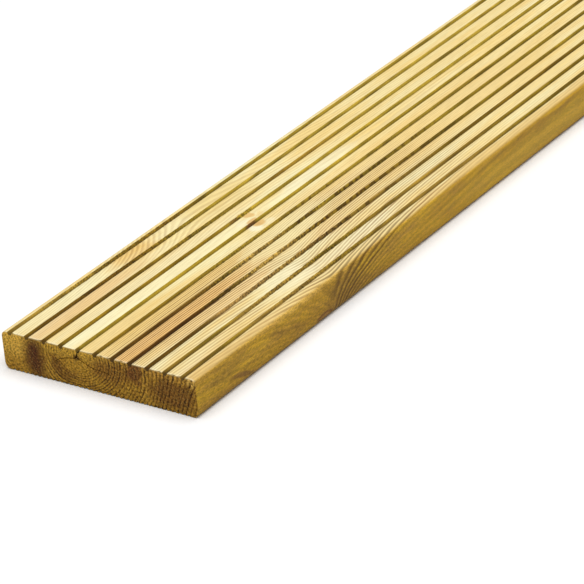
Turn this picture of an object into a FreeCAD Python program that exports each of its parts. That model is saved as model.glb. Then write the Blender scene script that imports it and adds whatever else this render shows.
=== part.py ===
import FreeCAD, Part
import math
import os

from FreeCAD import Vector

# Reversible decking board: one piece of softwood, moulded to a constant section, in millimetres.
# X runs along the board, Y across it and Z up. The origin is under the middle of the board.

# Stock size
length = 1800.0
width = 145.0
thickness = 26.0

# Rounding of the four long corners
top_corner_radius = 3.5
bottom_corner_radius = 4.5

# Upper face: wide grooves between flat ribs
groove_width = 3.6
groove_floor_width = 2.0
groove_depth = 2.0
groove_arris_radius = 0.4
groove_floor_radius = 0.5
rib_width = 9.35
groove_field_shift = 1.4  # the moulder set the groove field off the centre line, towards +Y

# Underside: fine rounded reeds between narrow flutes
flute_width = 2.5
flute_floor_width = 0.6
flute_depth = 1.2
flute_arris_radius = 0.6
flute_floor_radius = 0.4
reed_width = 0.95

# Two roundings that are nearer than this meet with no flat between them
shortest_edge = 0.0001

# The section is walked along the top towards -Y and along the underside towards +Y
towards_minus_y = -1
towards_plus_y = 1


def field_centres(pitch, opening, corner_radius, shift):
    """Places across the board of as many channels as fit between the rounded corners."""
    half_field = width / 2 - corner_radius - abs(shift) - opening / 2
    count = int(2 * half_field // pitch) + 1
    first = shift - pitch * (count - 1) / 2
    return [first + pitch * index for index in range(count)]


def channel(centre, face, walk, opening, floor, depth, arris_radius, floor_radius):
    """Corners of one channel as (y, z, radius), cut into the face that the walk is on."""
    bottom = face + walk * depth
    return [
        (centre - walk * opening / 2, face, arris_radius),
        (centre - walk * floor / 2, bottom, floor_radius),
        (centre + walk * floor / 2, bottom, floor_radius),
        (centre + walk * opening / 2, face, arris_radius),
    ]


def section_corners():
    """Every corner of the moulded section in order, starting at the upper +Y corner."""
    grooves = field_centres(groove_width + rib_width, groove_width, top_corner_radius, groove_field_shift)
    flutes = field_centres(flute_width + reed_width, flute_width, bottom_corner_radius, 0)
    corners = [(width / 2, thickness, top_corner_radius)]
    for centre in reversed(grooves):
        corners += channel(centre, thickness, towards_minus_y, groove_width, groove_floor_width,
                           groove_depth, groove_arris_radius, groove_floor_radius)
    corners.append((-width / 2, thickness, top_corner_radius))
    corners.append((-width / 2, 0, bottom_corner_radius))
    for centre in flutes:
        corners += channel(centre, 0, towards_plus_y, flute_width, flute_floor_width,
                           flute_depth, flute_arris_radius, flute_floor_radius)
    corners.append((width / 2, 0, bottom_corner_radius))
    return corners


def corner_directions(corners, index):
    """Ways from one corner to the corner before it and to the one after it."""
    here, before, after = [Vector(0, corner[0], corner[1]) for corner in
                           (corners[index], corners[index - 1], corners[(index + 1) % len(corners)])]
    return before - here, after - here


def tangent_lengths(corners):
    """How far each rounding reaches along its sides, where two on one side share it if they would meet."""
    sides = [corner_directions(corners, index) for index in range(len(corners))]
    wanted = [corner[2] / math.tan(back.getAngle(ahead) / 2) for corner, (back, ahead) in zip(corners, sides)]
    room = []
    for index, (back, ahead) in enumerate(sides):
        both = wanted[index] + wanted[(index + 1) % len(corners)]
        room.append(min(1, ahead.Length / both))
    return [wanted[index] * min(room[index - 1], room[index]) for index in range(len(corners))]


def rounded_corner(corners, index, tangent):
    """Start, middle and end of the arc that rounds one corner."""
    here = Vector(0, corners[index][0], corners[index][1])
    back, ahead = corner_directions(corners, index)
    half_angle = back.getAngle(ahead) / 2
    radius = tangent * math.tan(half_angle)
    back.normalize()
    ahead.normalize()
    inward = (back + ahead).normalize()
    middle = here + inward * (radius / math.sin(half_angle) - radius)
    return here + back * tangent, middle, here + ahead * tangent


def moulded_section():
    """Face of the section in the YZ plane, with every corner rounded."""
    corners = section_corners()
    arcs = [rounded_corner(corners, index, tangent) for index, tangent in enumerate(tangent_lengths(corners))]
    edges = []
    for index, (start, middle, end) in enumerate(arcs):
        next_start = arcs[(index + 1) % len(arcs)][0]
        edges.append(Part.Arc(start, middle, end).toShape())
        if end.distanceToPoint(next_start) > shortest_edge:
            edges.append(Part.LineSegment(end, next_start).toShape())
    return Part.Face(Part.Wire(edges))


def decking_board():
    """The section run along the board, with both ends sawn square."""
    section = moulded_section()
    section.translate(Vector(-length / 2, 0, 0))
    return section.extrude(Vector(length, 0, 0))


os.makedirs("parts", exist_ok=True)
board = decking_board()
board.exportStep("parts/decking_board.step")
print("decking_board: valid", board.isValid(), "volume", round(board.Volume), "mm3, faces", len(board.Faces))
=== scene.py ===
# Reversible decking board: one length of pressure treated pine, grooved on top and reeded underneath.
import math

import bpy
from mathutils import Matrix, Vector, noise


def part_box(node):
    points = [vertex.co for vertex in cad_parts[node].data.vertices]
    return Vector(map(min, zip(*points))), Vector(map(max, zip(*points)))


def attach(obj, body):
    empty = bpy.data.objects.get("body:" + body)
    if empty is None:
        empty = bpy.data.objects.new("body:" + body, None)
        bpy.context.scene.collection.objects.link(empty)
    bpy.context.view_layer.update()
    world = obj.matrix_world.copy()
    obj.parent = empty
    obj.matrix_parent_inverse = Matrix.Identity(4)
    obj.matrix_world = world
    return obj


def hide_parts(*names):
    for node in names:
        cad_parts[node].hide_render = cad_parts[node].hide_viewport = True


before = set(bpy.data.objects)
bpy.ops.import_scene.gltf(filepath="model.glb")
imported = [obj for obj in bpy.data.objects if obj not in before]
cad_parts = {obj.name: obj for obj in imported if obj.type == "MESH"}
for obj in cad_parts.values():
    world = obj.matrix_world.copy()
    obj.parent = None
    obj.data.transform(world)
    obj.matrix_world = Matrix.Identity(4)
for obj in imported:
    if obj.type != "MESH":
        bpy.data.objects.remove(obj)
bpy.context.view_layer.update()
boardLow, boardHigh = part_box("decking_board")
mm = 0.001
print("frame loaded, board", [round(side, 4) for side in boardHigh - boardLow])


def linear(hexColour):
    # sRGB hex to the linear colour that shaders take
    parts = [int(hexColour[i:i + 2], 16) / 255 for i in (1, 3, 5)]
    return tuple(p / 12.92 if p <= 0.04045 else ((p + 0.055) / 1.055) ** 2.4 for p in parts) + (1.0,)


def grey(level):
    # a plain share, as a colour
    return (level,) * 3 + (1.0,)


def addNode(tree, kind, wires=(), **settings):
    # one shader node: settings are its properties, wires its inputs in order or by socket
    # each input is a node, a socket or a plain value
    node = tree.nodes.new("ShaderNode" + kind)
    for name, value in settings.items():
        setattr(node, name, value)
    for socket, value in wires.items() if isinstance(wires, dict) else enumerate(wires):
        if isinstance(value, bpy.types.Node):
            value = next(out for out in value.outputs if out.enabled)
        if isinstance(value, bpy.types.NodeSocket):
            tree.links.new(value, node.inputs[socket])
        else:
            node.inputs[socket].default_value = value
    return node


# The moulded section, in millimetres, as the board's construction gives it
section = {
    "width": 145.0,
    "thickness": 26.0,
    "topCorner": 3.5,
    "bottomCorner": 4.5,
    "cornerSegments": 5,
    "grooves": 11,
    "groovePitch": 12.95,
    "grooveShift": 1.4,
    "grooveWidth": 3.6,
    "grooveFloor": 2.0,
    "grooveDepth": 2.0,
    "grooveArris": 0.27,     # length that the easing takes off each side
    "grooveFillet": 0.34,
    "flutes": 39,
    "flutePitch": 3.45,
    "fluteWidth": 2.5,
    "fluteFloor": 0.6,
    "fluteDepth": 1.2,
    "reedArris": 0.29,
    "arrisSegments": 2,
    "filletSegments": 1,
    "ribCuts": 3,
    "sideCuts": 4,
    "endArris": 0.2,
    "skinTop": 2.6,          # the planed skin, below the top, above the underside and inside the sides
    "skinUnder": 1.6,
    "skinSide": 5.0,
}
# Cross lines along the board: where each stretch ends in mm from the near end, its cuts, and more cuts on top
stretches = [(14.0, 3, 3), (96.0, 8, 3), (262.0, 8, 17), (480.0, 11, 3), (1800.0, 32, 0)]
# Drying checks and the soft pith in the near end: corners across and up in mm, with the width at each
checks = {
    "depth": 9.0,
    "pith": (15.7, 20.5),
    "pithRadius": 0.7,
    "pithSides": 10,
    "overlap": 0.2,          # how much longer than its run each wedge is
    "paths": [
        [(15.7, 20.5, 0.9), (14.4, 24.6, 0.6)],
        [(16.0, 20.3, 0.7), (18.0, 19.5, 0.7), (24.0, 18.3, 0.6), (29.5, 16.4, 0.45), (33.0, 14.0, 0.3)],
        [(15.4, 20.5, 0.9), (14.0, 19.8, 0.9), (6.5, 16.5, 0.9), (2.5, 15.7, 0.7), (-6.5, 15.0, 0.5),
         (-9.0, 15.2, 0.3)],
    ],
}
# Torn groove edges and chipped rib ends, in mm
wear = {
    "edgeDepth": 0.6,        # only points this near the top are moved
    "edgeReach": 0.45,       # torn where they are this near a groove's edge
    "tornBase": 0.15,        # share of a full tear away from the zones below
    "tearSpacing": 1.8,
    "tearReach": 0.5,
    "tearSeed": 7.0,         # so that the two edges of a groove differ
    "chipZone": 0.35,        # rib ends this near the sawn end are chipped
    "chipSpacing": 1.7,
    "chipSeed": (3.1, 0.4),
    "chipDrop": 0.3,
    "chipBack": 0.8,         # behind the sawn end itself, chips also move this far in
    "chipFrom": 0.1,
}
# Where the cutter tore the grain beside the branches: middles and half sizes in mm
tornZones = [
    {"at": (150, -32, 25), "size": (75, 42, 9), "share": 0.9},
    {"at": (115, 62, 25), "size": (95, 12, 9), "share": 0.7},
    {"at": (165, 40, 25), "size": (40, 6, 9), "share": 0.5},
    {"at": (197, 27, 25), "size": (12, 5, 9), "share": 0.9},
]

grooveCentres = [section["grooveShift"] + section["groovePitch"] * (i - (section["grooves"] - 1) / 2)
                 for i in range(section["grooves"])]
fluteCentres = [section["flutePitch"] * (i - (section["flutes"] - 1) / 2) for i in range(section["flutes"])]
boardLength = (boardHigh.x - boardLow.x) / mm
nearEnd = boardLow.x
tiny = 0.02 * mm
weld = 0.005 * mm
flatAngle = 1.0        # degrees
smoothAngle = 40.0
endFacing = 0.9        # faces whose normal is this much along the board are sawn
softRim = (1.25, 0.5)  # a patch fades out between these shares of its half sizes


def selectOnly(obj, mode, test):
    # in edit mode, select the vertices, edges or faces whose middle passes the test
    bpy.ops.object.mode_set(mode="EDIT")
    bpy.ops.mesh.select_mode(type=mode)
    bpy.ops.mesh.select_all(action="DESELECT")
    bpy.ops.object.mode_set(mode="OBJECT")
    mesh = obj.data
    chosen = {"VERT": mesh.vertices, "EDGE": mesh.edges, "FACE": mesh.polygons}[mode]
    for item in chosen:
        if mode == "VERT":
            item.select = test(item.co)
        elif mode == "FACE":
            item.select = test(item.center)
        else:   # an edge is tested by its two ends
            item.select = test(*[mesh.vertices[i].co for i in item.vertices])
    bpy.ops.object.mode_set(mode="EDIT")


def inSkin(spot):
    # whether a place lies in the planed skin of the section
    s = section
    return (spot.z > (s["thickness"] - s["skinTop"]) * mm or spot.z < s["skinUnder"] * mm
            or abs(spot.y) > (s["width"] / 2 - s["skinSide"]) * mm)


def cutChannels(obj, centres, opening, floor, depth, face, inward):
    # bisect one row of channels into the section plane and take their faces out
    floorLine = face + inward * depth
    cutDeep = lambda c: (c.z / mm - floorLine) * inward < 0
    bpy.ops.mesh.select_all(action="SELECT")
    bpy.ops.mesh.bisect(plane_co=(nearEnd, 0, floorLine * mm), plane_no=(0, 0, 1))
    for centre in centres:
        for side in (-1, 1):
            selectOnly(obj, "FACE", cutDeep)
            lip = (nearEnd, (centre + side * opening / 2) * mm, face * mm)
            wall = Vector((0, depth * inward, -side * (floor - opening) / 2)).normalized()
            bpy.ops.mesh.bisect(plane_co=lip, plane_no=wall)
    half = (opening + floor) / 4 * mm
    selectOnly(obj, "FACE", lambda c: cutDeep(c) and min(abs(c.y - m * mm) for m in centres) < half)
    bpy.ops.mesh.delete(type="FACE")


def roundCorners(obj, reach, segments, test):
    # round the section's chosen corners while it is still flat
    selectOnly(obj, "VERT", test)
    bpy.ops.mesh.bevel(offset=reach * mm, segments=segments, affect="VERTICES", profile=0.5)


def cutChecks(board):
    # thin wedges along the checks and a bore for the pith, taken out of the near end
    c = checks
    reach = 2 * c["depth"] * mm
    bpy.ops.object.select_all(action="DESELECT")
    bpy.ops.mesh.primitive_cylinder_add(vertices=c["pithSides"], radius=c["pithRadius"] * mm, depth=reach,
                                        location=(nearEnd, c["pith"][0] * mm, c["pith"][1] * mm),
                                        rotation=(0, math.pi / 2, 0))
    wedges = [bpy.context.object]
    for path in c["paths"]:
        for (y1, z1, w1), (y2, z2, w2) in zip(path, path[1:]):
            middle = (nearEnd, (y1 + y2) / 2 * mm, (z1 + z2) / 2 * mm)
            slope = math.atan2(z2 - z1, y2 - y1)
            bpy.ops.mesh.primitive_cube_add(size=1, location=middle, rotation=(slope, 0, 0))
            wedge = bpy.context.object
            wedge.scale = (reach, (math.hypot(y2 - y1, z2 - z1) + c["overlap"]) * mm, (w1 + w2) / 2 * mm)
            wedges.append(wedge)
    for wedge in wedges:
        wedge.select_set(True)
    bpy.ops.object.join()
    cutter = bpy.context.object
    cut = board.modifiers.new("checks", "BOOLEAN")
    cut.object = cutter
    cut.solver = "EXACT"
    cut.use_self = True
    bpy.context.view_layer.objects.active = board
    bpy.ops.object.modifier_apply(modifier=cut.name)
    bpy.data.objects.remove(cutter)
    print("checks cut,", len(board.data.vertices), "vertices")


def tearEdges(board):
    # ragged groove edges, most where the grain turns, and small chips along the rib ends
    w = wear
    outer, inner = softRim
    for vertex in board.data.vertices:
        co = vertex.co
        along, across, below = (co.x - nearEnd) / mm, co.y / mm, section["thickness"] - co.z / mm
        if below > w["edgeDepth"]:
            continue
        centre = min(grooveCentres, key=lambda c: abs(c - across))
        side = math.copysign(1, across - centre)
        if abs(abs(across - centre) - section["grooveWidth"] / 2) < w["edgeReach"]:
            torn = w["tornBase"]
            for zone in tornZones:
                offsets = zip((along, across), zone["at"], zone["size"])
                away = Vector([(p - a) / d for p, a, d in offsets]).length
                torn = max(torn, zone["share"] * min(max((outer - away) / (outer - inner), 0), 1))
            wave = noise.noise(Vector((along / w["tearSpacing"], centre, w["tearSeed"] * side)))
            co.y += w["tearReach"] * side * torn * wave * mm
        if along < w["chipZone"]:
            chip = max(noise.noise(Vector((across / w["chipSpacing"], *w["chipSeed"]))), 0)
            co.z -= w["chipDrop"] * chip * mm
            if along > w["chipFrom"]:
                co.x += w["chipBack"] * chip * mm


def makeBoard():
    s = section
    top, half = s["thickness"] * mm, s["width"] / 2 * mm
    bpy.ops.object.select_all(action="DESELECT")
    bpy.ops.mesh.primitive_plane_add(size=1, location=(nearEnd, 0, top / 2), rotation=(0, math.pi / 2, 0))
    board = bpy.context.object
    board.name = "grooved_board"
    board.scale = (s["thickness"] * mm, s["width"] * mm, 1)
    bpy.ops.object.transform_apply(location=True, rotation=True, scale=True)
    bpy.ops.object.mode_set(mode="EDIT")
    cutChannels(board, grooveCentres, s["grooveWidth"], s["grooveFloor"], s["grooveDepth"],
                face=s["thickness"], inward=-1)
    cutChannels(board, fluteCentres, s["fluteWidth"], s["fluteFloor"], s["fluteDepth"], face=0, inward=1)
    bpy.ops.mesh.select_all(action="SELECT")
    bpy.ops.mesh.dissolve_limited(angle_limit=math.radians(flatAngle))
    print("section cut,", len(board.data.vertices), "corners")

    onSide = lambda c: abs(c.y) > half - tiny
    onEdge = lambda c, edges: min(abs(c.y - e) for e in edges) < tiny
    grooveEdges = [(c + e * s["grooveWidth"] / 2) * mm for c in grooveCentres for e in (-1, 1)]
    reedEdges = [(c + e * s["fluteWidth"] / 2) * mm for c in fluteCentres for e in (-1, 1)]
    floorLine = top - s["grooveDepth"] * mm
    roundCorners(board, s["topCorner"], s["cornerSegments"], lambda c: onSide(c) and c.z > top - tiny)
    roundCorners(board, s["bottomCorner"], s["cornerSegments"], lambda c: onSide(c) and c.z < tiny)
    roundCorners(board, s["grooveArris"], s["arrisSegments"],
                 lambda c: c.z > top - tiny and onEdge(c, grooveEdges))
    roundCorners(board, s["grooveFillet"], s["filletSegments"],
                 lambda c: abs(c.z - floorLine) < tiny and not onSide(c))
    roundCorners(board, s["reedArris"], s["arrisSegments"], lambda c: c.z < tiny and onEdge(c, reedEdges))
    halfRib = (s["groovePitch"] - s["grooveWidth"]) / 2 * mm
    selectOnly(board, "EDGE", lambda a, b: min(a.z, b.z) > top - tiny and abs(a.y - b.y) > halfRib)
    bpy.ops.mesh.subdivide(number_cuts=s["ribCuts"])
    selectOnly(board, "EDGE", lambda a, b: onSide(a) and onSide(b) and abs(a.z - b.z) > top / 2)
    bpy.ops.mesh.subdivide(number_cuts=s["sideCuts"])

    start = 0.0
    for reach, cuts, topCuts in stretches:
        stop = nearEnd + start * mm
        selectOnly(board, "FACE", lambda c: abs(c.x - stop) < tiny)
        bpy.ops.mesh.extrude_region_move(TRANSFORM_OT_translate={"value": ((reach - start) * mm, 0, 0)})
        start = reach
    bpy.ops.mesh.select_all(action="SELECT")
    bpy.ops.mesh.normals_make_consistent(inside=False)
    for end in (nearEnd, boardHigh.x):
        selectOnly(board, "EDGE", lambda a, b: max(abs(a.x - end), abs(b.x - end)) < tiny)
        bpy.ops.mesh.bevel(offset=s["endArris"] * mm, segments=s["arrisSegments"], affect="EDGES")
    bpy.ops.object.mode_set(mode="OBJECT")
    print("board extruded,", len(board.data.vertices), "vertices")
    cutChecks(board)
    bpy.ops.object.mode_set(mode="EDIT")
    bpy.ops.mesh.select_all(action="SELECT")
    bpy.ops.mesh.remove_doubles(threshold=weld)

    start = 0.0
    for reach, cuts, topCuts in stretches:
        low, high = nearEnd + start * mm - tiny, nearEnd + reach * mm + tiny
        lengthwise = lambda a, b: (min(a.x, b.x) > low and max(a.x, b.x) < high and abs(a.x - b.x) > mm
                                   and inSkin(a) and inSkin(b))
        selectOnly(board, "EDGE", lengthwise)
        bpy.ops.mesh.subdivide(number_cuts=cuts)
        if topCuts:
            skinLine = top - s["skinTop"] * mm
            selectOnly(board, "EDGE", lambda a, b: lengthwise(a, b) and min(a.z, b.z) > skinLine)
            bpy.ops.mesh.subdivide(number_cuts=topCuts)
        start = reach
    bpy.ops.object.mode_set(mode="OBJECT")
    tearEdges(board)
    # the flute corners of an end lie on one line, so each end is split into well-shaped triangles here
    selectOnly(board, "FACE", lambda c: min(abs(c.x - nearEnd), abs(c.x - boardHigh.x)) < tiny)
    bpy.ops.mesh.quads_convert_to_tris(quad_method="BEAUTY", ngon_method="BEAUTY")
    bpy.ops.object.mode_set(mode="OBJECT")
    print("board finished,", len(board.data.vertices), "vertices,",
          sum(len(face.vertices) - 2 for face in board.data.polygons), "triangles")
    return board


# How the tree grew, in mm from the near end, across the board and up from its underside
growth = {
    "pith": (0.0, 15.5, 20.5),
    "squash": 1.3,              # the rings are wider than high
    "firstRing": 1.75,
    "ringGain": 0.013,          # each mm from the pith widens a ring by this share of a mm
    "fineLines": 1.4,           # lines to a ring on the planed faces
    "fineStart": 0.3,
    "plainCore": (7.0, 24.0, 0.25, 1.0),   # few lines show in the young wood round the pith
    "fineCore": (7.0, 16.0, 0.45, 1.0),
    "swellStart": (0.0, 12.0),
    "slowWander": 4.0,
    "fineWander": 0.9,
    "drift": (30, 6, 6),        # how far the rims of broad stains and of small marks wander
    "gentleDrift": (4, 2.5, 2.5),
}
# Lines as shares of a ring: where each rises and falls, and how faint the faintest is
ringLine = {"rise": (0.3, 0.82), "fall": (0.88, 1.0), "faintest": 0.4}
fineLine = {"rise": (0.15, 0.6), "fall": (0.75, 1.0), "faintest": 0.6}
# Branches that pushed the rings outwards: side of the pith, where each leaves it, its slant towards the
# near end and down, the share that the rings swell beside the pith and per mm away, and the reach to
# either side of it. Lift and round blunt the crest of the swelling, and the flare widens it further off.
branches = [
    {"side": -1, "from": 190.0, "slant": 0.50, "dive": 0.347, "swell": 0.165, "swellGain": 0.0006,
     "nearReach": 2.4, "farReach": 2.1, "lift": 0.0, "round": 0.25, "flare": 0.06, "flareFrom": 18.0},
    {"side": 1, "from": 178.0, "slant": 0.05, "dive": 0.08, "swell": 0.30, "swellGain": 0.0050,
     "nearReach": 3.4, "farReach": 16.0, "lift": 3.0, "round": 4.0, "flare": 0.0, "flareFrom": 0.0},
]
# Patterns of the wood: sizes along, across and up in mm, octaves, and the range of noise that gives a
# range of shares. Real fibres and pores are under 0.1 mm wide, so fleck, streak, fibre, stroke, grit and
# speck are drawn far coarser, so that they show.
patterns = {
    "slow": {"size": (160, 30, 30), "octaves": 1.0},
    "fine": {"size": (22, 4, 4), "octaves": 2.0},
    "drift": {"size": (18, 5, 5), "octaves": 3.0},
    "cloud": {"size": (90, 9, 9), "octaves": 3.0, "range": (0.35, 0.65, 0.0, 1.0)},
    "rust": {"size": (26, 7, 5), "octaves": 4.0, "range": (0.4, 0.75, 0.0, 0.8)},
    "fleck": {"size": (1.8, 0.7, 0.7), "octaves": 4.0, "range": (0.3, 0.7, 0.64, 1.34)},
    "dash": {"size": (5, 5, 9), "octaves": 1.0, "range": (0.48, 0.58, 0.0, 1.0), "ease": "SMOOTHSTEP"},
    "streak": {"size": (1.3, 1.4, 1.4), "octaves": 4.0, "range": (0.35, 0.65, -0.72, 0.48)},
    "soak": {"size": (28, 5, 9), "octaves": 3.0, "range": (0.35, 0.65, 0.7, 1.22)},
    "fibre": {"size": (9, 0.6, 0.6), "octaves": 3.0},
    "stroke": {"size": (2.4, 2.4, 2.4), "octaves": 2.0, "range": (0.35, 0.65, 0.5, 1.6)},
    "grit": {"size": (1.4, 1.4, 1.4), "octaves": 3.0},
    "speck": {"size": (1.0, 1.0, 1.0), "octaves": 1.0},
}


def grain(tree, place, name):
    # one of the patterns at its size on the board
    p = patterns[name]
    cells = addNode(tree, "VectorMath", [place, [1 / side for side in p["size"]]], operation="MULTIPLY")
    wood = addNode(tree, "TexNoise", {"Vector": cells, "Scale": 1.0, "Detail": p["octaves"]})
    if "range" in p:
        wood = addNode(tree, "MapRange", [wood, *p["range"]], interpolation_type=p.get("ease", "LINEAR"))
    return wood


def ringLines(tree, count, rise, fall, faintest):
    # a line to each count: a slow rise into the late wood and a quick fall in winter, bolder in some years
    soft = {"interpolation_type": "SMOOTHSTEP"}
    season = addNode(tree, "Math", [count], operation="FRACT")
    late = addNode(tree, "MapRange", [season, *rise], **soft)
    winter = addNode(tree, "MapRange", [season, *fall, 1.0, 0.0], **soft)
    year = addNode(tree, "Math", [count], operation="FLOOR")
    luck = addNode(tree, "TexWhiteNoise", {"W": year}, noise_dimensions="1D")
    luck = addNode(tree, "MapRange", [luck.outputs["Value"], 0.0, 1.0, faintest, 1.0])
    line = addNode(tree, "Math", [late, winter], operation="MULTIPLY")
    return addNode(tree, "Math", [line, luck], operation="MULTIPLY")


def branchSwell(tree, b, along, across, up):
    # the share by which one branch swells the rings: most at its own line, less to either side of it
    pith = growth["pith"]
    out = addNode(tree, "Math", [across, b["side"], -b["side"] * pith[1]], operation="MULTIPLY_ADD")
    out = addNode(tree, "Math", [out, 0.0], operation="MAXIMUM")
    beside = addNode(tree, "Math", [out, b["slant"], along], operation="MULTIPLY_ADD")
    beside = addNode(tree, "Math", [beside, b["from"]], operation="SUBTRACT")
    above = addNode(tree, "Math", [out, b["dive"], up], operation="MULTIPLY_ADD")
    above = addNode(tree, "Math", [above, pith[2]], operation="SUBTRACT")
    above = addNode(tree, "Math", [above], operation="ABSOLUTE")
    above = addNode(tree, "Math", [above, b["lift"]], operation="ADD")
    above = addNode(tree, "Math", [above, 1.0], operation="MAXIMUM")
    beyond = addNode(tree, "Math", [beside, 0.0], operation="GREATER_THAN")
    reach = addNode(tree, "MapRange", [beyond, 0.0, 1.0, b["nearReach"], b["farReach"]])
    flare = addNode(tree, "Math", [above, b["flareFrom"]], operation="SUBTRACT")
    flare = addNode(tree, "Math", [flare, 0.0], operation="MAXIMUM")
    flare = addNode(tree, "Math", [flare, flare], operation="MULTIPLY")
    spread = addNode(tree, "Math", [flare, b["flare"], above], operation="MULTIPLY_ADD")
    reach = addNode(tree, "Math", [reach, spread], operation="MULTIPLY")
    crest = addNode(tree, "Math", [above, b["round"]], operation="MULTIPLY")
    away = addNode(tree, "Math", [crest, crest], operation="MULTIPLY")
    away = addNode(tree, "Math", [beside, beside, away], operation="MULTIPLY_ADD")
    away = addNode(tree, "Math", [away], operation="SQRT")
    away = addNode(tree, "Math", [crest, away], operation="SUBTRACT")
    fade = addNode(tree, "Math", [away, reach], operation="DIVIDE")
    fade = addNode(tree, "Math", [fade], operation="EXPONENT")
    swell = addNode(tree, "Math", [out, b["swellGain"], b["swell"]], operation="MULTIPLY_ADD")
    begun = addNode(tree, "MapRange", [out, *growth["swellStart"]])
    swell = addNode(tree, "Math", [swell, begun], operation="MULTIPLY")
    return addNode(tree, "Math", [swell, fade], operation="MULTIPLY")


def pineField(tree):
    # growth rings as a solid: each surface shows the cut that it makes through them
    g = growth
    coords = addNode(tree, "TexCoord")
    place = addNode(tree, "VectorMath", [coords.outputs["Object"], (1 / mm,) * 3, (-nearEnd / mm, 0, 0)],
                    operation="MULTIPLY_ADD")
    along, across, up = addNode(tree, "SeparateXYZ", [place]).outputs
    fromPith = addNode(tree, "VectorMath", [place, g["pith"]], operation="SUBTRACT")
    fromPith = addNode(tree, "VectorMath", [fromPith, (0, 1, g["squash"])], operation="MULTIPLY")
    radius = addNode(tree, "VectorMath", [fromPith], operation="LENGTH")
    share = 1.0
    for branch in branches:
        swell = branchSwell(tree, branch, along, across, up)
        share = addNode(tree, "Math", [share, swell], operation="SUBTRACT")
    depth = addNode(tree, "Math", [radius, share], operation="MULTIPLY")
    slow, fine = grain(tree, place, "slow"), grain(tree, place, "fine")
    depth = addNode(tree, "Math", [slow, g["slowWander"], depth], operation="MULTIPLY_ADD")
    depth = addNode(tree, "Math", [fine, g["fineWander"], depth], operation="MULTIPLY_ADD")
    # rings widen steadily outwards, so their count is a logarithm of the depth
    count = addNode(tree, "Math", [depth, g["ringGain"] / g["firstRing"], 1.0], operation="MULTIPLY_ADD")
    count = addNode(tree, "Math", [count, math.e], operation="LOGARITHM")
    count = addNode(tree, "Math", [count, g["ringGain"]], operation="DIVIDE")
    grownUp = addNode(tree, "MapRange", [radius, *g["plainCore"]], interpolation_type="SMOOTHSTEP")
    rings = ringLines(tree, count, **ringLine)
    rings = addNode(tree, "Math", [rings, grownUp], operation="MULTIPLY")
    fineCount = addNode(tree, "Math", [count, g["fineLines"], g["fineStart"]], operation="MULTIPLY_ADD")
    fineGrown = addNode(tree, "MapRange", [radius, *g["fineCore"]])
    fineRings = ringLines(tree, fineCount, **fineLine)
    fineRings = addNode(tree, "Math", [fineRings, fineGrown], operation="MULTIPLY")
    # places moved a little about, so that stains have ragged edges drawn out along the grain
    drift = grain(tree, place, "drift").outputs["Color"]
    drift = addNode(tree, "VectorMath", [drift, (0.5, 0.5, 0.5)], operation="SUBTRACT")
    drifted = addNode(tree, "VectorMath", [drift, g["drift"], place], operation="MULTIPLY_ADD")
    gentle = addNode(tree, "VectorMath", [drift, g["gentleDrift"], place], operation="MULTIPLY_ADD")
    return {"place": place, "drifted": drifted, "gentle": gentle, "along": along, "across": across, "up": up,
            "rings": rings, "fineRings": fineRings, "fine": fine}


def stain(tree, place, base, patches):
    # soft patches of another tone: ellipsoids, with middle and half sizes in mm and the turn in degrees
    for patch in patches:
        middle, size = patch["at"], patch["size"]
        outer, inner = patch.get("rim", softRim)
        if "turn" in patch:
            turn = [math.radians(t) for t in patch["turn"]]
            sockets = {"Vector": place, "Location": middle, "Rotation": turn, "Scale": size}
            away = addNode(tree, "Mapping", sockets, vector_type="TEXTURE")
        else:
            scale = [1 / s for s in size]
            shift = [-m / s for m, s in zip(middle, size)]
            away = addNode(tree, "VectorMath", [place, scale, shift], operation="MULTIPLY_ADD")
        away = addNode(tree, "VectorMath", [away], operation="LENGTH")
        share = addNode(tree, "MapRange", [away, outer, inner, 0.0, patch["share"]],
                        interpolation_type="SMOOTHSTEP")
        tint = linear(patch["tint"]) if "tint" in patch else grey(1.0)
        base = addNode(tree, "Mix", {0: share, 6: base, 7: tint}, data_type="RGBA")
    return base


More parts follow.
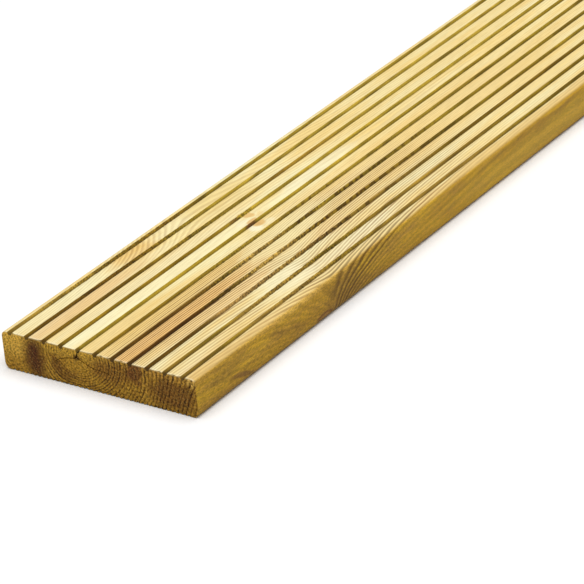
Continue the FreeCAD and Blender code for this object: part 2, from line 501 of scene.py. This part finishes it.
# Tones of the planed faces, and where the board differs from them
mouldedLook = {
    "cream": "#fff3bc",         # early wood of the planed ribs
    "honey": "#fde095",
    "tan": "#8f5a24",           # late wood lines
    "chip": "#fff6da",          # fresh fibres along the sawn end, and a painted highlight on the ribs' front edges
    "gold": "#f0c03a",          # sides, where the treatment shows
    "amber": "#dcaa34",
    "rust": "#c69646",
    "goldLine": "#644510",
    "reed": "#f7da90",          # crests of the underside
    "olive": "#b4972c",         # rough groove walls hold more of the treatment
    "moss": "#90741e",
    "umber": "#45280c",
}
ribStains = [
    {"at": (40, 47, 26), "size": (85, 7, 9), "tint": "#f0c88a", "share": 0.7},
    {"at": (110, 34, 26), "size": (120, 7, 9), "tint": "#fae3ab", "share": 0.5},
    {"at": (90, 21, 26), "size": (140, 7.5, 9), "tint": "#fff6c8", "share": 0.7},
    {"at": (120, 60, 26), "size": (26, 8, 9), "tint": "#f2be62", "share": 0.5},
    {"at": (40, 61, 26), "size": (60, 7, 9), "tint": "#fdf2c0", "share": 0.6},
    {"at": (50, -18, 26), "size": (105, 8.5, 9), "tint": "#fdc878", "share": 0.85},
    {"at": (75, -5, 26), "size": (115, 7, 9), "tint": "#fad27c", "share": 0.75},
    {"at": (85, -31, 26), "size": (80, 8, 9), "tint": "#ffd996", "share": 0.65},
    {"at": (20, -66, 26), "size": (60, 9, 9), "tint": "#f0cb84", "share": 0.5},
    {"at": (164, -13, 26), "size": (26, 13, 9), "tint": "#fff2b8", "share": 0.85},
    {"at": (152, -33, 26), "size": (16, 7, 9), "tint": "#fceeb2", "share": 0.5},
    {"at": (134, -50, 26), "size": (28, 13, 9), "tint": "#fff6cc", "share": 0.6},
    {"at": (203, -34, 26), "size": (20, 8, 9), "tint": "#f8d696", "share": 0.5},
    {"at": (180, -66, 26), "size": (40, 7, 9), "tint": "#f2d290", "share": 0.5},
    {"at": (330, -12, 26), "size": (220, 26, 9), "tint": "#fcdc94", "share": 0.65},
    {"at": (20, 8, 26), "size": (75, 7, 9), "tint": "#f4d284", "share": 0.7},
    {"at": (205, 54, 26), "size": (45, 15, 9), "tint": "#f3d484", "share": 0.6},
    {"at": (200, -11, 26), "size": (42, 16, 9), "tint": "#fff0b4", "share": 0.7},
    {"at": (190, -57, 26), "size": (60, 7, 9), "tint": "#fff6cc", "share": 0.5},
    {"at": (275, 21, 26), "size": (50, 7.5, 9), "tint": "#fff6cc", "share": 0.8},
    {"at": (160, 60, 26), "size": (22, 8, 9), "tint": "#fff2c0", "share": 0.5},
    {"at": (240, -69.5, 26), "size": (600, 4.5, 9), "tint": "#f8da90", "share": 0.6},
    {"at": (430, 12, 26), "size": (150, 75, 9), "tint": "#f8d684", "share": 0.35},
    {"at": (25, -69.5, 26), "size": (75, 3.5, 9), "tint": "#e2bb70", "share": 0.6},
    {"at": (410, -69.5, 26), "size": (170, 4.5, 9), "tint": "#eac67c", "share": 0.65},
]
# The knot that comes up through two ribs, and the pale wood round it
knotStains = [
    {"at": (182, 8.8, 26), "size": (5.5, 5.5, 9), "tint": "#fff8d6", "share": 0.75},
    {"at": (193, 6.5, 26), "size": (6, 4, 9), "tint": "#fff5ce", "share": 0.4},
    {"at": (184, 19.5, 26), "size": (7, 4.5, 9), "tint": "#fff7d2", "share": 0.45},
    {"at": (199.5, 17.5, 26), "size": (6, 2.4, 9), "turn": (0, 0, 35), "tint": "#f3d592", "share": 0.6},
    {"at": (194.5, 24.5, 26), "size": (3.6, 5.8, 9), "turn": (0, 0, 30), "tint": "#e8be76", "share": 0.85,
     "rim": (1.15, 0.7)},
    {"at": (189, 16.6, 26), "size": (5.2, 2.4, 9), "tint": "#e6bb78", "share": 0.85, "rim": (1.15, 0.7)},
    {"at": (188.6, 12, 26), "size": (6, 4.9, 9), "tint": "#e9bf76", "share": 0.9, "rim": (1.15, 0.75)},
    {"at": (187.6, 11, 26), "size": (3, 2.6, 9), "tint": "#d8a763", "share": 0.5},
]
# Where the growth rings show more plainly on the ribs
lineBase = 0.3
lineZones = [
    {"at": (140, -35, 26), "size": (210, 38, 9), "share": 0.65},
    {"at": (140, -17, 26), "size": (200, 17, 9), "share": 0.95},
    {"at": (124, -50, 26), "size": (28, 17, 9), "tint": "#585858", "share": 0.8},
    {"at": (122, 60, 26), "size": (30, 10, 9), "share": 0.3},
    {"at": (215, 8, 26), "size": (32, 6, 9), "share": 0.4},
    {"at": (410, 15, 26), "size": (60, 12, 9), "share": 0.3},
    {"at": (180, -14, 26), "size": (48, 20, 9), "tint": "#787878", "share": 0.6},
    {"at": (275, -45, 26), "size": (75, 32, 9), "share": 0.5},
    {"at": (60, 21, 26), "size": (130, 8, 9), "tint": "#404040", "share": 0.5},
    {"at": (185, -70, 26), "size": (110, 6, 9), "share": 1.0},
]
# Where the late wood is darkest: on the brown rib, and along the upper right-hand corner beside the branch
lineTones = [
    {"at": (50, -18, 26), "size": (85, 22, 9), "tint": "#54290c", "share": 0.9},
    {"at": (190, -71, 26), "size": (62, 7, 9), "tint": "#4f2e0c", "share": 0.95},
]
sideStains = [
    {"at": (32, -72.5, 16), "size": (22, 9, 5), "turn": (0, -6, 0), "tint": "#a07a38", "share": 0.45},
    {"at": (92, -72.5, 14), "size": (24, 9, 3.2), "turn": (0, 14, 0), "tint": "#a47a36", "share": 0.55},
    {"at": (141, -72.5, 18), "size": (8, 9, 7), "turn": (0, -10, 0), "tint": "#a07c38", "share": 0.2},
    {"at": (400, -72.5, 21), "size": (80, 9, 2.2), "tint": "#b1863a", "share": 0.5},
    {"at": (22, -72.5, 23.5), "size": (34, 9, 2.5), "tint": "#b68a3a", "share": 0.6},
    {"at": (115, -72.5, 25), "size": (62, 9, 4), "tint": "#f6c660", "share": 0.7},
    {"at": (110, -72.5, 5), "size": (150, 9, 7), "tint": "#b0842c", "share": 0.4},
    {"at": (160, -72.5, 11), "size": (24, 9, 9), "tint": "#a57c38", "share": 0.6},
    {"at": (430, -72.5, 11), "size": (140, 9, 9), "tint": "#f4c850", "share": 0.6},
]
sideKnots = [
    {"at": (46, -72.5, 6.8), "size": (15, 9, 2), "turn": (0, 15, 0), "tint": "#8a6033", "share": 0.7},
    {"at": (136, -72.5, 3.4), "size": (8.5, 9, 2.8), "tint": "#74472a", "share": 0.75, "rim": (1.15, 0.8)},
    {"at": (136, -72.5, 2.8), "size": (6.4, 9, 2), "tint": "#bb8a3c", "share": 0.8, "rim": (1.1, 0.7)},
]
grooveStains = [
    {"at": (40, 66, 24), "size": (80, 5, 9), "tint": "#b8963c", "share": 0.7},
    {"at": (145, 66, 24), "size": (60, 5, 9), "tint": "#936f1c", "share": 0.6},
    {"at": (60, 53, 24), "size": (105, 5, 9), "tint": "#7f5b10", "share": 0.9},
    {"at": (40, 40, 24), "size": (120, 5, 9), "tint": "#886614", "share": 0.85},
    {"at": (400, 46, 24), "size": (260, 26, 9), "tint": "#ccae40", "share": 0.8},
    {"at": (110, 14, 24), "size": (130, 5, 9), "tint": "#c2a430", "share": 0.85},
    {"at": (270, 20, 24), "size": (70, 14, 9), "tint": "#ccae3a", "share": 0.7},
    {"at": (30, 1, 24), "size": (80, 5, 9), "tint": "#9a781a", "share": 0.8},
    {"at": (290, 1, 24), "size": (210, 5, 9), "tint": "#b89a34", "share": 0.8},
    {"at": (330, 27, 24), "size": (170, 5, 9), "tint": "#c8aa38", "share": 0.8},
    {"at": (30, -12, 24), "size": (65, 5, 9), "tint": "#704a06", "share": 0.9},
    {"at": (48, -24.5, 24), "size": (84, 5, 9), "tint": "#603a04", "share": 0.95},
    {"at": (20, -37.5, 24), "size": (60, 5, 9), "tint": "#704b09", "share": 0.85},
    {"at": (155, -18, 24), "size": (40, 16, 9), "tint": "#caa652", "share": 0.85},
    {"at": (250, -24.5, 24), "size": (80, 6, 9), "tint": "#a88428", "share": 0.7},
    {"at": (185, -37.5, 24), "size": (45, 5, 9), "tint": "#a07a3e", "share": 0.7},
    {"at": (10, -57, 24), "size": (40, 12, 9), "tint": "#8c6c28", "share": 0.8},
    {"at": (110, -56, 24), "size": (60, 12, 9), "tint": "#be984a", "share": 0.65},
    {"at": (290, -57, 24), "size": (110, 12, 9), "tint": "#be9844", "share": 0.65},
    {"at": (105, -37.5, 24), "size": (48, 5, 9), "tint": "#c8a05c", "share": 0.8},
    {"at": (275, -37.5, 24), "size": (55, 5, 9), "tint": "#c49e44", "share": 0.75},
    {"at": (88, -12, 24), "size": (38, 5, 9), "tint": "#865e1c", "share": 0.7},
    {"at": (90, 27, 24), "size": (110, 5, 9), "tint": "#a27e18", "share": 0.7},
    {"at": (275, 40, 24), "size": (55, 5, 9), "tint": "#ae862c", "share": 0.7},
    {"at": (430, -37, 24), "size": (110, 5, 9), "tint": "#826014", "share": 0.6},
]
grooveKnotsAndMouthShade = [
    # the first is painted shade in the groove mouths along the near end, the others are knots
    {"at": (0, 0, 24), "size": (5, 80, 9), "tint": "#5e4210", "share": 0.7},
    {"at": (186, 27.3, 24), "size": (6, 4, 5), "tint": "#86652c", "share": 0.85},
    {"at": (186.5, 14.4, 24), "size": (7, 4, 5), "tint": "#7c5226", "share": 0.95},
]
dashZones = [
    {"at": (235, -18, 24), "size": (65, 28, 9), "share": 0.7},
    {"at": (330, -12, 24), "size": (60, 20, 9), "share": 0.4},
]
# Where each look of the planed faces begins and ends, in mm, and the shares at either end
mouldedRanges = {
    "ribTop": (0.14, 0.03),                  # below the top
    "cornerTop": (2.0, 0.0),
    "corner": (4.0, 3.4),                    # inside a side
    "side": (4.4, 3.6),
    "reed": (0.1, 0.7, 0.85, 0.0),           # above the underside
    "paintedDepthShade": (2.0, 0.8, 0.5, 1.22),           # painted shade, darker towards the floor and lighter high on the walls: mm inside the face that a groove or flute is cut in
    "fibreAndHighlightRim": (0.4, 1.8, 0.3, 0.0),         # along the board; pale fibres with a painted highlight at the rib ends
    "plainLines": (138.0, 152.0, 0.25, 1.0),
    "faintLines": (150.0, 205.0, 1.0, 0.25),
    "faintLean": -1.8,                       # for each mm up, so higher lines fade further along
    "calmSide": (180.0, 290.0, 1.0, 0.4),
    "leftLines": (-10.0, 10.0, 1.0, 0.3),    # across the board
    "fibreShade": (0.3, 0.7, 0.9, 1.06),     # of the fibres' noise
    "fibreRough": (0.3, 0.7, 0.55, 0.7),
}
mouldedFinish = {
    "ribLine": 0.85,
    "grooveLine": 0.45,
    "ringRelief": -0.5,      # late wood stands lower than the fibres
    "bump": 0.35,
    "bumpHeight": 0.1,       # mm
    "specular": 0.2,         # raw fibres scatter most of the gloss away
}


def mouldedPine():
    # pine planed and moulded, then pressure treated: matt, pale on the ribs, olive in the grooves
    look = {name: linear(tone) for name, tone in mouldedLook.items()}
    r, finish = mouldedRanges, mouldedFinish
    material = bpy.data.materials.new("moulded treated pine")
    material.use_nodes = True
    tree = material.node_tree
    shader = tree.nodes["Principled BSDF"]
    field = pineField(tree)
    place, gentle, drifted = field["place"], field["gentle"], field["drifted"]
    along, across, up = field["along"], field["across"], field["up"]
    top, half = section["thickness"], section["width"] / 2
    soft = {"interpolation_type": "SMOOTHSTEP"}

    # where the planer and the groove cutters have been
    edge = addNode(tree, "Math", [across], operation="ABSOLUTE")
    ribTop = addNode(tree, "MapRange", [up, *[top - d for d in r["ribTop"]]], **soft)
    cornerTop = addNode(tree, "MapRange", [up, *[top - d for d in r["cornerTop"]]], **soft)
    corner = addNode(tree, "MapRange", [edge, *[half - d for d in r["corner"]]])
    ribTop = addNode(tree, "Mix", {0: corner, 2: ribTop, 3: cornerTop})
    reedTop = addNode(tree, "MapRange", [up, *r["reed"]], **soft)
    sideFace = addNode(tree, "MapRange", [edge, *[half - d for d in r["side"]]], **soft)
    cloud = grain(tree, place, "cloud")

    # planed ribs
    pale = addNode(tree, "Mix", {0: cloud, 6: look["cream"], 7: look["honey"]}, data_type="RGBA")
    pale = stain(tree, drifted, pale, ribStains)
    lineShare = stain(tree, drifted, grey(lineBase), lineZones)
    lineShare = addNode(tree, "Math", [lineShare, field["fineRings"]], operation="MULTIPLY")
    lineShare = addNode(tree, "Math", [lineShare, finish["ribLine"]], operation="MULTIPLY")
    lineTone = stain(tree, place, look["tan"], lineTones)
    pale = addNode(tree, "Mix", {0: lineShare, 6: pale, 7: lineTone}, data_type="RGBA")
    pale = stain(tree, gentle, pale, knotStains)
    # painted highlight and pale torn fibres along the rib ends at the sawn end
    rim = addNode(tree, "MapRange", [along, *r["fibreAndHighlightRim"]], **soft)
    pale = addNode(tree, "Mix", {0: rim, 6: pale, 7: look["chip"]}, data_type="RGBA")

    # golden sides: the lines are plain beside the branch, faint before and beyond it,
    # and fainter on the left side
    gold = addNode(tree, "Mix", {0: cloud, 6: look["gold"], 7: look["amber"]}, data_type="RGBA")
    rust = grain(tree, drifted, "rust")
    gold = addNode(tree, "Mix", {0: rust, 6: gold, 7: look["rust"]}, data_type="RGBA")
    gold = stain(tree, drifted, gold, sideStains)
    goldLine = addNode(tree, "MapRange", [along, *r["plainLines"]], **soft)
    beyond = addNode(tree, "Math", [up, r["faintLean"], along], operation="MULTIPLY_ADD")
    faint = addNode(tree, "MapRange", [beyond, *r["faintLines"]], **soft)
    leftSide = addNode(tree, "MapRange", [across, *r["leftLines"]])
    for factor in (faint, field["fineRings"], leftSide):
        goldLine = addNode(tree, "Math", [goldLine, factor], operation="MULTIPLY")
    gold = addNode(tree, "Mix", {0: goldLine, 6: gold, 7: look["goldLine"]}, data_type="RGBA")
    gold = stain(tree, gentle, gold, sideKnots)
    calm = addNode(tree, "MapRange", [along, *r["calmSide"]], **soft)
    fleck = addNode(tree, "Mix", {0: calm, 2: 1.0, 3: grain(tree, place, "fleck")})
    gold = addNode(tree, "VectorMath", [gold, fleck], operation="MULTIPLY")

    # grooves and flutes: dark where a ring crosses them, dashed in two stretches,
    # streaked where they are torn, with painted shade that is darkest at the floor and lighter high on the
    # walls
    dark = addNode(tree, "Mix", {0: cloud, 6: look["olive"], 7: look["moss"]}, data_type="RGBA")
    dark = stain(tree, drifted, dark, grooveStains)
    # painted shade in the groove mouths at the near end, and the knots
    dark = stain(tree, gentle, dark, grooveKnotsAndMouthShade)
    grooveLine = addNode(tree, "Math", [field["rings"], finish["grooveLine"]], operation="MULTIPLY")
    dash = stain(tree, place, grey(0.0), dashZones)
    dash = addNode(tree, "Math", [dash, grain(tree, place, "dash")], operation="MULTIPLY")
    for share in (grooveLine, dash):
        dark = addNode(tree, "Mix", {0: share, 6: dark, 7: look["umber"]}, data_type="RGBA")
    torn = stain(tree, place, grey(wear["tornBase"]), tornZones)
    streak = addNode(tree, "Math", [grain(tree, place, "streak"), torn, 1.0], operation="MULTIPLY_ADD")
    # painted shade: darker down towards each groove's and flute's floor, with painted light high on the walls
    fromMiddle = addNode(tree, "Math", [up, top / 2], operation="SUBTRACT")
    fromMiddle = addNode(tree, "Math", [fromMiddle], operation="ABSOLUTE")
    shadeFrom, shadeTo, *paintedShadeLevels = r["paintedDepthShade"]
    paintedDepthShade = addNode(tree, "MapRange", [fromMiddle, top / 2 - shadeFrom, top / 2 - shadeTo, *paintedShadeLevels])
    for shade in (streak, grain(tree, place, "soak"), paintedDepthShade):
        dark = addNode(tree, "VectorMath", [dark, shade], operation="MULTIPLY")

    low = addNode(tree, "Mix", {0: sideFace, 6: dark, 7: gold}, data_type="RGBA")
    low = addNode(tree, "Mix", {0: reedTop, 6: low, 7: look["reed"]}, data_type="RGBA")
    colour = addNode(tree, "Mix", {0: ribTop, 6: low, 7: pale}, data_type="RGBA")

    # fibres, a little darker and lighter along the grain
    fibre = grain(tree, place, "fibre")
    shade = addNode(tree, "MapRange", [fibre, *r["fibreShade"]])
    colour = addNode(tree, "VectorMath", [colour, shade], operation="MULTIPLY")
    height = addNode(tree, "Math", [field["rings"], finish["ringRelief"], fibre], operation="MULTIPLY_ADD")
    bump = addNode(tree, "Bump", {"Height": height, "Strength": finish["bump"],
                                  "Distance": finish["bumpHeight"] * mm})
    rough = addNode(tree, "MapRange", [fibre, *r["fibreRough"]])
    tree.links.new(colour.outputs["Vector"], shader.inputs["Base Color"])
    tree.links.new(bump.outputs["Normal"], shader.inputs["Normal"])
    tree.links.new(rough.outputs["Result"], shader.inputs["Roughness"])
    shader.inputs["Specular IOR Level"].default_value = finish["specular"]
    return material


# Tones of the sawn ends, and the stains of the near one
sawnLook = {
    "spring": "#e2b03c",
    "straw": "#9a6824",
    "summer": "#43270d",
    "fibre": "#e6c470",
    "pore": "#3a230c",
    "chip": "#f2dca0",          # fibres that the saw left standing along the ribs, and a painted highlight along the end's top edge
}
endStains = [
    {"at": (0, 20, 24), "size": (30, 42, 6), "tint": "#dcae40", "share": 0.6},
    {"at": (0, 64, 22), "size": (30, 12, 12), "tint": "#f6c350", "share": 0.85},
    {"at": (0, 49, 17), "size": (30, 8.5, 14), "tint": "#562c1a", "share": 0.95, "rim": (1.4, 0.1)},
    {"at": (0, 47.5, 7), "size": (30, 7.5, 10), "tint": "#5f341b", "share": 0.9, "rim": (1.5, 0.1)},
    {"at": (0, 35, 5.5), "size": (30, 5, 5), "tint": "#d8a53c", "share": 0.6},
    {"at": (0, 31.5, 12), "size": (30, 4.5, 5), "tint": "#7c5020", "share": 0.7},
    {"at": (0, 25, 6.5), "size": (30, 9, 4.5), "tint": "#754a1e", "share": 0.6},
    {"at": (0, 14, 16), "size": (30, 11, 6), "tint": "#cc9b34", "share": 0.6},
    {"at": (0, -10, 17), "size": (30, 17, 9), "tint": "#865426", "share": 0.55},
    {"at": (0, -28, 20), "size": (30, 7, 9), "tint": "#7c4a26", "share": 0.8},
    {"at": (0, -34.5, 10), "size": (30, 3.5, 13), "tint": "#d9a53e", "share": 0.7},
    {"at": (0, -55, 12), "size": (30, 20, 11), "tint": "#7c4e26", "share": 0.72},
    {"at": (0, -50, 24), "size": (30, 16, 4), "tint": "#c99540", "share": 0.6},
    {"at": (0, -70, 24), "size": (30, 5, 5), "tint": "#ecbc5c", "share": 0.8},
    {"at": (0, 15.7, 20.8), "size": (30, 2.6, 2.4), "tint": "#4a2a14", "share": 0.9},
]
# Where the rings hardly show on the sawn end
ringBase = 0.95
ringZones = [
    {"at": (0, 60, 13), "size": (30, 24, 40), "tint": "#484848", "share": 0.9},
]
sawnRanges = {
    "gritShade": (0.3, 0.7, 0.32, 1.8),      # of the grit's noise, and of the specks' below
    "bright": (0.6, 0.72, 0.0, 0.45),
    "pores": (0.38, 0.28, 0.0, 0.6),
    "fibreAndHighlightRim": (0.9, 0.3, 0.0, 0.6),         # mm below the top; standing fibres and a painted highlight
}
sawnFinish = {
    "bump": 0.5,
    "bumpHeight": 0.2,       # mm
    "roughness": 0.8,
    "specular": 0.15,
}


def sawnPine():
    # end grain from the saw: open pores soak up the treatment and go olive brown
    look = {name: linear(tone) for name, tone in sawnLook.items()}
    r, finish = sawnRanges, sawnFinish
    material = bpy.data.materials.new("sawn pine end grain")
    material.use_nodes = True
    tree = material.node_tree
    shader = tree.nodes["Principled BSDF"]
    field = pineField(tree)
    place, top = field["place"], section["thickness"]
    base = addNode(tree, "Mix", {0: field["fine"], 6: look["spring"], 7: look["straw"]}, data_type="RGBA")
    base = stain(tree, field["drifted"], base, endStains)

    # rings broken into short strokes
    lineShare = stain(tree, field["gentle"], grey(ringBase), ringZones)
    for factor in (field["rings"], grain(tree, place, "stroke")):
        lineShare = addNode(tree, "Math", [lineShare, factor], operation="MULTIPLY")
    colour = addNode(tree, "Mix", {0: lineShare, 6: base, 7: look["summer"]}, data_type="RGBA")

    # torn fibres and open pores
    grit, speck = grain(tree, place, "grit"), grain(tree, place, "speck")
    shade = addNode(tree, "MapRange", [grit, *r["gritShade"]])
    colour = addNode(tree, "VectorMath", [colour, shade], operation="MULTIPLY")
    bright = addNode(tree, "MapRange", [speck, *r["bright"]])
    pores = addNode(tree, "MapRange", [speck, *r["pores"]])
    # a rim of standing fibres and painted highlight along the end's top edge
    rimFrom, rimTo, *rimShares = r["fibreAndHighlightRim"]
    rim = addNode(tree, "MapRange", [field["up"], top - rimFrom, top - rimTo, *rimShares])
    for share, tone in ((bright, "fibre"), (pores, "pore"), (rim, "chip")):
        colour = addNode(tree, "Mix", {0: share, 6: colour, 7: look[tone]}, data_type="RGBA")
    bump = addNode(tree, "Bump", {"Height": grit, "Strength": finish["bump"],
                                  "Distance": finish["bumpHeight"] * mm})
    tree.links.new(colour.outputs[2], shader.inputs["Base Color"])
    tree.links.new(bump.outputs["Normal"], shader.inputs["Normal"])
    shader.inputs["Roughness"].default_value = finish["roughness"]
    shader.inputs["Specular IOR Level"].default_value = finish["specular"]
    return material


# Texture map: the share of its height for the grooved face, the underside, each side and the ends
mapSet = {
    "near": 480.0,           # mm of the board that get the share below of the map's width
    "nearShare": 0.55,
    "top": (0.0, 0.44),
    "under": (0.45, 0.64),
    "right": (0.65, 0.74),
    "left": (0.75, 0.84),
    "ends": (0.86, 0.995),
    "nearEndStart": 0.01,    # where each end begins along its strip, and how much of it an end takes
    "farEndStart": 0.51,
    "endShare": 0.48,
}


def mapBoard(board):
    m = mapSet
    half, top = section["width"] / 2, section["thickness"]
    upperCorner, lowerCorner = section["topCorner"], section["bottomCorner"]
    coords = board.data.uv_layers.new(name="OFBake").data
    for face in board.data.polygons:
        middle = face.center / mm
        beside = half - abs(middle.y)
        for corner in face.loop_indices:
            spot = board.data.vertices[board.data.loops[corner].vertex_index].co / mm
            along, inset = spot.x - nearEnd / mm, half - abs(spot.y)
            if along < m["near"]:
                across = along / m["near"] * m["nearShare"]
            else:
                beyond = (along - m["near"]) / (boardLength - m["near"])
                across = m["nearShare"] + beyond * (1 - m["nearShare"])
            if face.material_index:
                strip, level = "ends", spot.z / top
                start = m["nearEndStart"] if middle.x < 0 else m["farEndStart"]
                across = (spot.y + half) / (2 * half) * m["endShare"] + start
            elif middle.z > top / 2 and beside > upperCorner:
                strip, level = "top", (spot.y + half - upperCorner) / (2 * half - 2 * upperCorner)
            elif middle.z < top / 2 and beside > lowerCorner:
                strip, level = "under", (spot.y + half - lowerCorner) / (2 * half - 2 * lowerCorner)
            else:
                strip = "right" if middle.y < 0 else "left"
                rise = spot.z + inset if spot.z > top / 2 else spot.z - inset
                level = (rise + lowerCorner) / (top + upperCorner + lowerCorner)
            low, high = m[strip]
            coords[corner].uv = (min(max(across, 0), 1), low + min(max(level, 0), 1) * (high - low))
    print("texture map laid out")


# Camera fitted to the photograph's edges and grooves
cameraSet = {
    "place": (-2284.810, -1164.768, 988.672),   # mm
    "heading": 36.2712,      # degrees from +X towards +Y
    "down": 27.3122,
    "roll": -5.1932,
    "focalPixels": 3429.716,
    "imagePixels": 584,
    "sensor": 36.0,          # mm
    "clipEnd": 100.0,        # m
}


def makeCamera():
    c = cameraSet
    bpy.ops.object.camera_add()
    camera = bpy.context.object
    heading, down, roll = [math.radians(c[name]) for name in ("heading", "down", "roll")]
    flat = math.cos(down)
    forward = Vector((math.cos(heading) * flat, math.sin(heading) * flat, -math.sin(down)))
    level = Vector((math.sin(heading), -math.cos(heading), 0))
    upright = level.cross(forward)
    right = level * math.cos(roll) + upright * math.sin(roll)
    up = right.cross(forward)
    turn = Matrix((right, up, -forward)).transposed()
    camera.matrix_world = Matrix.Translation(Vector(c["place"]) * mm) @ turn.to_4x4()
    camera.data.sensor_width = c["sensor"]
    camera.data.lens = c["focalPixels"] / c["imagePixels"] * c["sensor"]
    camera.data.clip_end = c["clipEnd"]
    bpy.context.scene.camera = camera
    print("camera placed")


stageSet = {
    "floorSize": 80.0,       # m
    "white": "#ffffff",      # floor and sky as the camera sees them
    "floorBounce": 0.4,
    "sky": 0.25,
    "key": 2.58,             # W/m2 of the overhead soft light
    "keyAngle": 70.0,        # degrees
    "keyHeight": 3.0,        # m
    "keyTilt": (8.0, 5.0),   # degrees towards the right-hand side and the near end
}


def makeStage():
    s = stageSet
    bpy.ops.object.select_all(action="DESELECT")
    bpy.ops.mesh.primitive_plane_add(size=s["floorSize"], location=(0, 0, boardLow.z))
    floor = bpy.context.object
    floor.name = "floor"
    paper = bpy.data.materials.new("white studio floor")   # matt paper: white to the eye, dimmer as a bounce
    paper.use_nodes = True
    tree = paper.node_tree
    tree.nodes.clear()
    rays = addNode(tree, "LightPath").outputs
    seen = addNode(tree, "Math", [rays["Is Camera Ray"], rays["Is Glossy Ray"]], operation="MAXIMUM")
    bounce, white = grey(s["floorBounce"]), linear(s["white"])
    shade = addNode(tree, "Mix", {0: seen, 6: bounce, 7: white}, data_type="RGBA")
    diffuse = addNode(tree, "BsdfDiffuse", {"Color": shade})
    addNode(tree, "OutputMaterial", {"Surface": diffuse})
    floor.data.materials.append(paper)

    world = bpy.data.worlds.new("studio")
    bpy.context.scene.world = world
    world.use_nodes = True
    tree = world.node_tree
    tree.nodes.clear()
    rays = addNode(tree, "LightPath").outputs
    seen = addNode(tree, "Math", [rays["Is Camera Ray"], rays["Is Transmission Ray"]], operation="MAXIMUM")
    level = addNode(tree, "MapRange", [seen, 0.0, 1.0, s["sky"], 1.0])
    sky = addNode(tree, "Background", {"Color": linear(s["white"]), "Strength": level})
    addNode(tree, "OutputWorld", {"Surface": sky})

    bpy.ops.object.light_add(type="SUN", location=(0, 0, s["keyHeight"]))
    key = bpy.context.object
    key.name = "overhead softbox"
    key.data.energy = s["key"]
    key.data.angle = math.radians(s["keyAngle"])
    side, near = [math.radians(t) for t in s["keyTilt"]]
    aim = Vector((math.tan(near), math.tan(side), -1))
    key.rotation_euler = aim.to_track_quat("-Z", "Y").to_euler()
    print("stage set")


board = makeBoard()
board.data.materials.append(mouldedPine())
board.data.materials.append(sawnPine())
for face in board.data.polygons:
    face.material_index = 0 if inSkin(face.center) and abs(face.normal.x) <= endFacing else 1
print("materials laid on")
mapBoard(board)
bpy.context.view_layer.objects.active = board
bpy.ops.object.select_all(action="DESELECT")
board.select_set(True)
bpy.ops.object.shade_smooth_by_angle(angle=math.radians(smoothAngle))
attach(board, "root")
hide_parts("decking_board")
makeStage()
makeCamera()
bpy.context.scene.view_settings.view_transform = "Standard"
